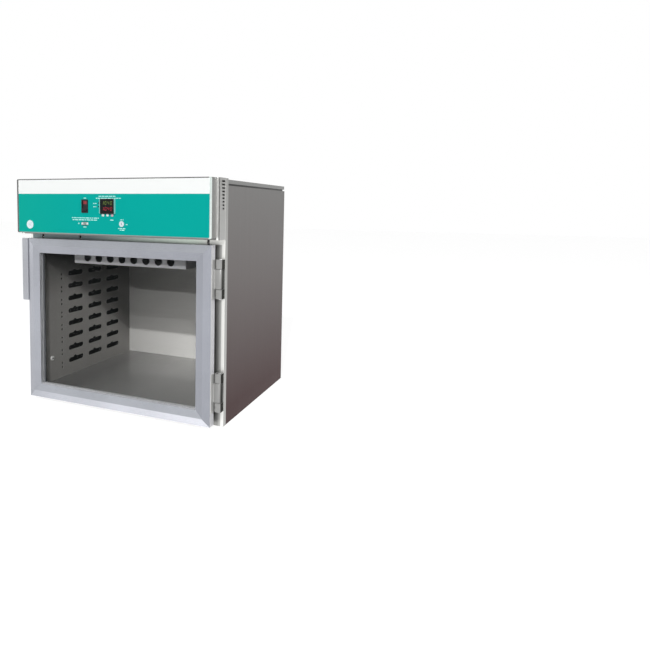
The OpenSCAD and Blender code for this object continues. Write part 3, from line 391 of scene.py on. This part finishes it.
def slot_materials():
    """One material for each material slot of the record."""
    return {
        "outer_steel": brushed("outer_steel", outer_face, "z", streak=0.03, Metallic=0.35,
                               Specular_IOR_Level=0.0),
        "frame_steel": brushed("frame_steel", frame_face, "z", rough=0.42, streak=0.05),
        "liner_steel": brushed("liner_steel", plain((0.86, 0.86, 0.88)), "x", rough=0.5, streak=0.04,
                               Metallic=0.0, Specular_IOR_Level=0.18),
        "plated_steel": satin_metal("plated_steel", plain((0.52, 0.52, 0.50))),
        # Insulation painted near black as the shade behind the liner's holes
        "insulation": fibre("insulation", (0.015, 0.015, 0.015)),
        "heater_steel": satin_metal("heater_steel", plain((0.20, 0.18, 0.16)), rough=0.5),
        "motor_paint": moulded("motor_paint", (0.03, 0.03, 0.034), rough=0.35),
        "wheel_aluminium": satin_metal("wheel_aluminium", plain((0.6, 0.6, 0.6))),
        "bright_steel": satin_metal("bright_steel", plain((0.62, 0.62, 0.62)), rough=0.25),
        "white_plastic": moulded("white_plastic", (0.80, 0.88, 0.86), rough=0.4),
        "cream_plastic": moulded("cream_plastic", (0.74, 0.68, 0.55)),
        "overlay_film": printed_film("overlay_film", TEAL, LEFT_TEAL, BAND_WHITE, BAND_Z),
        "light_plastic": two_tone("light_plastic", (0.006, 0.008, 0.008), (0.22, 0.58, 0.54), "X",
                                  middle=0.004, half=0.0212),
        "dark_window": moulded("dark_window", (0.003, 0.004, 0.005), rough=0.3, rise=0.02,
                               Specular_IOR_Level=0.15),
        "pink_plastic": moulded("pink_plastic", (0.60, 0.40, 0.46)),
        "black_plastic": moulded("black_plastic", (0.008, 0.008, 0.010), rough=0.4, Specular_IOR_Level=0.3),
        "red_lens": moulded("red_lens", (0.26, 0.012, 0.022), rough=0.22),
        "lock_chrome": satin_metal("lock_chrome", plain((0.58, 0.66, 0.69)), rough=0.25),
        # The door's side faces at the right are painted light, bright as if lit
        "door_aluminium": satin_metal("door_aluminium", door_face, rough=0.3, metal=0.5,
                                      side=(0.66, 0.66, 0.69), side_from=0.27),
        "door_glass": clear_glass("door_glass", (0.08, 0.09, 0.09)),
        # The glazing rubber's upward faces are painted light, as lit from above
        "glazing_rubber": moulded("glazing_rubber", (0.50, 0.51, 0.53), rough=0.6, grain=500.0, rise=0.2,
                                  top=(0.85, 0.86, 0.89)),
        "black_rubber": moulded("black_rubber", (0.012, 0.012, 0.013), rough=0.6, grain=500.0, rise=0.2),
        "handle_steel": satin_metal("handle_steel", plain((0.36, 0.37, 0.40)), metal=0.5),
        # The hinges' sides beyond the frame's edge are painted near black as their shade
        "hinge_steel": satin_metal("hinge_steel", hinge_face, metal=0.5, side=(0.06, 0.06, 0.055),
                                   side_from=0.3, Specular_IOR_Level=0.0),
    }


def node_materials():
    """Nodes whose finish differs from their slot's."""
    floor_steel = brushed("floor_steel", chamber_floor, "x", rough=0.14, streak=0.025, Metallic=0.0)
    dull = {"rough": 0.5, "streak": 0.03, "Metallic": 0.0, "Specular_IOR_Level": 0.18}
    wall_steel = brushed("wall_steel", side_wall, "z", **dull)
    return {
        "liner_floor": floor_steel,
        "probe_bushing": moulded("bushing_plastic", (0.96, 0.96, 0.94), rough=0.4),
        "liner_left": wall_steel,
        "liner_right": wall_steel,
        # The ceiling is the liner's steel painted near black as the shade under it
        "liner_ceiling": brushed("ceiling_steel", plain((0.06, 0.06, 0.057)), "x", **dull),
        "liner_back": brushed("back_steel", back_wall, "x", **dull),
        "head_housing": brushed("housing_steel", housing_face, "y", streak=0.06),
        "head_cover": brushed("cover_steel", cover_face, "x", streak=0.06),
        "top_cover": brushed("lid_steel", lid_face, "y", streak=0.05),
        # Data socket: a white band, with dark bands above and below it painted as its shade
        "data_socket": two_tone("socket_plastic", (0.80, 0.88, 0.86), (0.008, 0.010, 0.010), "Z",
                                middle=0.512, half=0.0031),
    }


def dress_nodes(materials, special):
    """Gives each node its own material, or its slot's."""
    for sub in frame["record"]["subparts"]:
        mesh = NODES[sub["node"]].data
        mesh.materials.clear()
        mesh.materials.append(special.get(sub["node"], materials[sub["material_slot"]]))


# --- Pieces ---


def link(made):
    """Puts an object into the scene."""
    bpy.context.scene.collection.objects.link(made)
    return made


def piece(name, body, material, build, smooth=None):
    """A mesh piece that build() fills, riding on a body; edges flatter than smooth are shaded soft."""
    shape = bmesh.new()
    build(shape)
    bmesh.ops.remove_doubles(shape, verts=shape.verts, dist=1e-6)
    bmesh.ops.recalc_face_normals(shape, faces=shape.faces)
    mesh = bpy.data.meshes.new(name)
    shape.to_mesh(mesh)
    shape.free()
    mesh.materials.append(material)
    if smooth:
        mesh.shade_smooth()
        mesh.set_sharp_from_angle(angle=math.radians(smooth))
    made = link(bpy.data.objects.new(name, mesh))
    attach(made, body)
    return made


def skin(shape, rings, closed=False):
    """Joins rings of points with quads, the last to the first too if closed, and returns their vertices."""
    rows = [[shape.verts.new(point) for point in ring] for ring in rings]
    count = len(rows[0])
    for first, second in zip(rows, rows[1:] + rows[:1] if closed else rows[1:]):
        for i in range(count):
            shape.faces.new((first[i], first[(i + 1) % count], second[(i + 1) % count], second[i]))
    return rows


def loft(shape, rings, closed=False):
    """A solid through rings of points: a closed loop, or capped at both ends."""
    rows = skin(shape, rings, closed)
    if not closed:
        shape.faces.new(rows[0][::-1])
        shape.faces.new(rows[-1])


def plaque(shape, outline, front, back, edge=0.00005):
    """A thin plate that faces the front: an outline of (x, z) points with a small chamfer."""
    mid = [sum(part) / len(outline) for part in zip(*outline)]

    def drawn_in(amount):
        for x, z in outline:
            away = Vector((x - mid[0], z - mid[1]))
            yield away.normalized() * max(away.length - amount, 0.0) + Vector(mid)
    top = [(x, front, z) for x, z in drawn_in(edge)]
    side = [(x, front + edge, z) for x, z in outline]
    loft(shape, [[(x, back, z) for x, z in outline], side, top])


def disc_points(x, z, radius, count=16):
    """Points on a circle that faces the front."""
    return [(x + radius * math.cos(math.tau * i / count), z + radius * math.sin(math.tau * i / count))
            for i in range(count)]


def bar_points(x0, x1, z, height):
    """A word-like bar with rounded corners."""
    nick = height * 0.3
    z0, z1 = z - height / 2, z + height / 2
    return [(x0 + nick, z0), (x1 - nick, z0), (x1, z0 + nick), (x1, z1 - nick),
            (x1 - nick, z1), (x0 + nick, z1), (x0, z1 - nick), (x0, z0 + nick)]


PANEL_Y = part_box("front_overlay")[0].y
PRINT_T = 0.00012
# Places of the plain word bars on the overlay, in the source's millimetres: first x, last x, height z
CAPTIONS = ((-24, 30, 572.5), (-32, 44, 567.5), (-71, -62, 567.8), (-41, -29, 554), (-41, -31, 545.7),
            (12, 22, 512.3), (-109, -23, 516.5), (-107, -29, 511.4), (-72.6, -61.4, 493), (42, 52, 513.4),
            (58.5, 66, 501.8), (35.6, 56.7, 491.4), (39.8, 55.7, 487.5))
WORD_H = 2.2 * MM
# Shortest and longest word in millimetres, and the gap after a word
WORD_L = (4.0, 11.0)
WORD_GAP = 1.3 * MM
# The printed dot beside the data socket, and the two indicators beside the display
DOT_X, DOT_Z, DOT_R = -0.0867, 0.512, 2.2 * MM
INDICATOR_X, INDICATOR_Z = -0.024, (555, 546)


def make_captions(film):
    """The print beside the controls, as plain bars the length of words."""
    chance = random.Random(5)
    front, back = PANEL_Y - PRINT_T, PANEL_Y + PRINT_T

    def build(shape):
        for first, last, z in CAPTIONS:
            x, end, height = first * MM, last * MM, (z + BASE_Z) * MM
            while x < end:
                word = min(chance.uniform(*WORD_L) * MM, end - x)
                if word > WORD_H:
                    plaque(shape, bar_points(x, x + word, height, WORD_H), front, back)
                x += word + WORD_GAP
        plaque(shape, disc_points(DOT_X, DOT_Z, DOT_R, 24), front, back)
    piece("panel_print", "cabinet", film, build)


def make_indicators(material):
    """Two dark domed indicators beside the display."""
    sunk = 0.0001
    # Radius and rise in millimetres
    profile = ((1.9, 0.0), (1.9, 0.5), (1.4, 0.9), (0.6, 1.1))

    def build(shape):
        for z in INDICATOR_Z:
            rings = []
            for radius, rise in profile:
                rings.append([(x, PANEL_Y + sunk - rise * MM, height)
                              for x, height in disc_points(INDICATOR_X, (z + BASE_Z) * MM, radius * MM)])
            loft(shape, rings)
    piece("panel_indicators", "cabinet", material, build, smooth=50)


# Bars of the figures that the display shows
SEGMENTS = {"0": "abcdef", "1": "bc", "4": "fgbc"}


def segment_points(which, x, z, wide, high, thick):
    """One bar of a seven-segment digit whose middle is at x, z."""
    level = {"a": high / 2, "g": 0.0, "d": -high / 2}
    if which in level:
        mid, half, upright = (x, z + level[which]), wide / 2, False
    else:
        side = wide / 2 if which in "bc" else -wide / 2
        mid, half, upright = (x + side, z + (high / 4 if which in "bf" else -high / 4)), high / 4, True
    tip, gap = thick / 2, thick * 0.35
    half -= gap
    flat = [(-half, 0), (-half + tip, -tip), (half - tip, -tip),
            (half, 0), (half - tip, tip), (-half + tip, tip)]
    lean = 0.10
    points = [(mid[0] + (v if upright else u), mid[1] + (u if upright else v)) for u, v in flat]
    return [(px + lean * (pz - z), pz) for px, pz in points]


def make_digits(name, text, z, material):
    """A row of lit figures on the display's window."""
    low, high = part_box("controller_window")
    mid_x = (low.x + high.x) / 2
    pitch, wide, tall, thick = 8.4 * MM, 4.2 * MM, 8.6 * MM, 0.95 * MM

    def build(shape):
        for i, figure in enumerate(text):
            x = mid_x + (i - (len(text) - 1) / 2) * pitch
            for which in SEGMENTS[figure]:
                bar = segment_points(which, x, z, wide, tall, thick)
                plaque(shape, bar, low.y - PRINT_T, low.y + PRINT_T)
    piece(name, "cabinet", material, build)


def make_tongue(material):
    """White contact tongue of the data socket, with its four contact strips."""
    low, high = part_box("data_socket")
    mid_x, mid_z = (low.x + high.x) / 2, (low.z + high.z) / 2
    front, top = low.y + 3.6 * MM, mid_z + 2.05 * MM
    half, strip_half, pitch = 5.6 * MM, 0.5 * MM, 2.4

    def slab(shape, x0, x1, z0, z1, y0, y1, nick):
        rings = []
        for y, cut in ((y0, nick), (y0 + nick, 0.0), (y1, 0.0)):
            left, right, under, over = x0 + cut, x1 - cut, z0 + cut, z1 - cut
            rings.append([(left, y, under), (right, y, under), (right, y, over), (left, y, over)])
        loft(shape, rings)

    def build(shape):
        slab(shape, mid_x - half, mid_x + half, top - 2.0 * MM, top,
             front, low.y + 10 * MM, nick=0.25 * MM)
        for i in (-1.5, -0.5, 0.5, 1.5):
            x = mid_x + i * pitch * MM
            slab(shape, x - strip_half, x + strip_half, top - 2.2 * MM, top - 1.9 * MM,
                 front + 0.6 * MM, low.y + 9.5 * MM, nick=0.05 * MM)
    piece("data_tongue", "cabinet", material, build)


def screw_head(shape, place, outward, radius, tall, deep):
    """Pan head with a cross recess; outward is the direction that the head faces."""
    turn = Vector((0, 0, 1)).rotation_difference(Vector(outward)).to_matrix()

    def at(x, y, z):
        return Vector(place) + turn @ Vector((x, y, z))
    # Shares of the radius and of the height
    profile = ((1.0, 0.0), (1.0, 0.45), (0.9, 0.75), (0.74, 0.92), (0.58, 1.0))
    rows = skin(shape, [[at(x, y, rise * tall) for x, y in disc_points(0.0, 0.0, wide * radius, 24)]
                        for wide, rise in profile])
    shape.faces.new(rows[0][::-1])
    arm, half, taper = 0.46 * radius, 0.11 * radius, 0.8
    corner = [(half, half), (half, arm), (-half, arm), (-half, half), (-arm, half), (-arm, -half),
              (-half, -half), (-half, -arm), (half, -arm), (half, -half), (arm, -half), (arm, half)]
    upper = [shape.verts.new(at(x, y, tall)) for x, y in corner]
    lower = [shape.verts.new(at(x * taper, y * taper, tall - deep)) for x, y in corner]
    edges = []
    for loop in (rows[-1], upper):
        for i, vert in enumerate(loop):
            after = loop[(i + 1) % len(loop)]
            edges.append(shape.edges.get((vert, after)) or shape.edges.new((vert, after)))
    bmesh.ops.triangle_fill(shape, use_beauty=True, edges=edges)
    for i in range(len(corner)):
        j = (i + 1) % len(corner)
        shape.faces.new((upper[j], upper[i], lower[i], lower[j]))
    shape.faces.new(lower)


def make_back_screws(material):
    """The back panel's ten screws, with domed heads and cross recesses, in place of the plain solids."""
    low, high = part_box("panel_screws")
    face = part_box("back_panel")[1].y
    radius, shank, count = 3.5 * MM, 1.7 * MM, 5
    # Places along the shank and shares of its radius there
    profile = ((low.y, 0.6), (low.y + 0.8 * MM, 1.0), (face + 0.1 * MM, 1.0))

    def build(shape):
        for x in (low.x + radius, high.x - radius):
            for i in range(count):
                z = low.z + radius + i * (high.z - low.z - 2 * radius) / (count - 1)
                screw_head(shape, (x, face, z), (0, 1, 0), radius, tall=high.y - face, deep=1.1 * MM)
                loft(shape, [[(x + dx, y, z + dz) for dx, dz in disc_points(0, 0, shank * wide, 12)]
                             for y, wide in profile])
    made = piece("back_screws", "cabinet", material, build, smooth=35)
    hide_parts("panel_screws")


def make_handle_screws(material):
    """Three screws that hold the handle to the door's edge."""
    low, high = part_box("door_handle")
    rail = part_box("door_left_stile")[0]
    out, back = 2.5 * MM, 13 * MM

    def build(shape):
        for share in (0.12, 0.5, 0.88):
            place = (rail.x - out, (low.y + rail.y) / 2 + back, low.z + share * (high.z - low.z))
            screw_head(shape, place, (-1, 0, 0), radius=3.2 * MM, tall=1.6 * MM, deep=0.9 * MM)
    piece("handle_screws", "door", material, build, smooth=35)


def make_gasket(material):
    """Door gasket with a bulb and two lips, mitred at its corners, in place of the plain solid."""
    low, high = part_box("door_gasket")
    wide, deep = 16 * MM, high.y - low.y
    # Across the gasket from its outer edge, and from the door towards the frame
    section = [(0.0, 0.0), (1.0, 0.0), (1.0, 0.18), (0.86, 0.30), (0.90, 0.52), (0.98, 0.70), (0.92, 0.88),
               (0.76, 0.98), (0.5, 1.0), (0.24, 0.98), (0.08, 0.88), (0.02, 0.70), (0.10, 0.52), (0.14, 0.30),
               (0.0, 0.18)]

    def build(shape):
        rings = []
        for sx, sz in ((-1, -1), (1, -1), (1, 1), (-1, 1)):
            edge_x, edge_z = (high.x if sx > 0 else low.x), (high.z if sz > 0 else low.z)
            rings.append([(edge_x - sx * u * wide, low.y + v * deep, edge_z - sz * u * wide)
                          for u, v in section])
        loft(shape, rings, closed=True)
    made = piece("gasket_bulb", "door", material, build, smooth=50)
    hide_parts("door_gasket")


# Widths of the rounded edges
SHEET_EDGE, RAIL_EDGE, FITTING_EDGE = 0.6 * MM, 0.2 * MM, 0.5 * MM


def soften(width, *names):
    """Rounds the sharp edges of sheet metal and extrusions a little."""
    for name in names:
        weld = NODES[name].modifiers.new("weld", "WELD")
        weld.merge_threshold = 1e-5
        bevel = NODES[name].modifiers.new("bevel", "BEVEL")
        bevel.width, bevel.segments = width, 2
        bevel.limit_method, bevel.angle_limit = "ANGLE", math.radians(40)
        bevel.harden_normals = True


def make_pieces(materials):
    """The details beyond the CAD nodes, and the nodes' rounded edges."""
    print_white = moulded("print_white", (0.50, 0.90, 0.84), rough=0.5, rise=0.02, Specular_IOR_Level=0.05)
    make_captions(print_white)
    make_indicators(materials["dark_window"])
    make_digits("upper_digits", "1040", 0.5655, glowing("green_light", (0.16, 0.24, 0.03), strength=0.3))
    make_digits("lower_digits", "1040", 0.5505, glowing("red_light", (0.50, 0.012, 0.035), strength=0.3))
    make_tongue(materials["white_plastic"])
    make_back_screws(materials["plated_steel"])
    make_handle_screws(materials["bright_steel"])
    make_gasket(materials["black_rubber"])
    soften(SHEET_EDGE, "left_side_panel", "right_side_panel", "top_cover", "head_housing", "head_cover",
           "front_frame")
    soften(RAIL_EDGE, "door_left_stile", "door_right_stile", "door_top_rail", "door_bottom_rail")
    soften(FITTING_EDGE, "door_handle", "hinge_frame_leaves", "hinge_door_leaves")


# --- Stage ---


def make_camera():
    """The photograph's point of view, fitted on the cabinet's corners, for a square frame."""
    yaw, pitch, roll = 0.4202, 0.08195, 0.01097
    forward = Vector((-math.sin(yaw) * math.cos(pitch), math.cos(yaw) * math.cos(pitch), -math.sin(pitch)))
    level = Vector((math.cos(yaw), math.sin(yaw), 0.0))
    plumb = level.cross(forward)
    data = bpy.data.cameras.new("photo_camera")
    data.sensor_width = 36.0
    data.lens = 31.646
    data.shift_x, data.shift_y = 0.16, -0.1077
    camera = link(bpy.data.objects.new("photo_camera", data))
    turn = Matrix.Identity(3)
    turn.col[0] = level * math.cos(roll) + plumb * math.sin(roll)
    turn.col[1] = plumb * math.cos(roll) - level * math.sin(roll)
    turn.col[2] = -forward
    camera.matrix_world = turn.to_4x4()
    camera.location = row(862.912, -1273.594, 545.831)
    bpy.context.scene.camera = camera


def make_world():
    """White to the eye and through glass, dimmer overhead in metal; gives less light from the front."""
    world = bpy.data.worlds.new("studio")
    bpy.context.scene.world = world
    world.use_nodes = True
    graph = Graph(world.node_tree)
    toward = graph.node("TexCoord", outlet="Generated")
    sky = graph.span(graph.node("SeparateXYZ", outlet="Z", Vector=toward), 0.05, 0.5, 1.0, 0.72)
    ambient = graph.span(graph.node("SeparateXYZ", outlet="Y", Vector=toward), -0.6, 0.2, 0.08, 0.4)
    strength = graph.span(graph.rays("Glossy"), 0.0, 1.0, ambient, sky)
    strength = graph.span(graph.rays("Camera", "Transmission"), 0.0, 1.0, strength, 1.0)
    background = world.node_tree.nodes["Background"]
    background.inputs["Color"].default_value = (1.0, 1.0, 1.0, 1.0)
    graph.feed(background.inputs["Strength"], strength)


def softbox(name, place, size, power, aim=(0.0, 0.1, 0.25)):
    """A rectangular lamp that looks at the cabinet."""
    data = bpy.data.lights.new(name, "AREA")
    data.shape = "RECTANGLE"
    data.size, data.size_y = size
    data.energy = power
    lamp = link(bpy.data.objects.new(name, data))
    lamp.location = place
    lamp.rotation_mode = "QUATERNION"
    lamp.rotation_quaternion = (Vector(aim) - Vector(place)).to_track_quat("-Z", "Y")


def make_lights():
    """Three small lamps in front, which set the duct's shadow bands on the back wall, and two softboxes."""
    small, large = (0.12, 0.12), (1.2, 1.6)
    softbox("front_low", (0.758, -6.24, 2.346), small, 79.0)
    softbox("front_right", (3.378, -6.24, 3.704), small, 60.0)
    softbox("front_high", (1.978, -6.24, 4.318), small, 290.0)
    softbox("left_softbox", (-2.4, -1.2, 1.0), large, 8.0)
    softbox("right_softbox", (2.6, -0.4, 0.9), large, 16.0)


def make_floor():
    """Pale paper under the cabinet, which glows to the eye and in metal so that it looks white."""
    mesh = bpy.data.meshes.new("studio_floor")
    shape = bmesh.new()
    bmesh.ops.create_grid(shape, x_segments=1, y_segments=1, size=14.0)
    shape.to_mesh(mesh)
    shape.free()
    floor = link(bpy.data.objects.new("studio_floor", mesh))
    made = Shader("studio_floor", Roughness=0.9, Emission_Color=(1.0, 1.0, 1.0, 1.0))
    paper = made.noise([40.0] * 3, detail=4.0)
    seen, mirrored = 0.82, 1.2
    glow = made.math("MULTIPLY", made.rays("Camera", "Transmission"), seen)
    glow = made.math("ADD", glow, made.math("MULTIPLY", made.rays("Glossy"), mirrored))
    made.give(Base_Color=made.blend(paper, (0.33, 0.33, 0.33), (0.37, 0.37, 0.37)), Emission_Strength=glow)
    mesh.materials.append(made.mat)


bpy.context.scene.view_settings.view_transform = "Standard"
make_camera()
make_world()
make_lights()
make_floor()
MATERIALS = slot_materials()
dress_nodes(MATERIALS, node_materials())
make_pieces(MATERIALS)
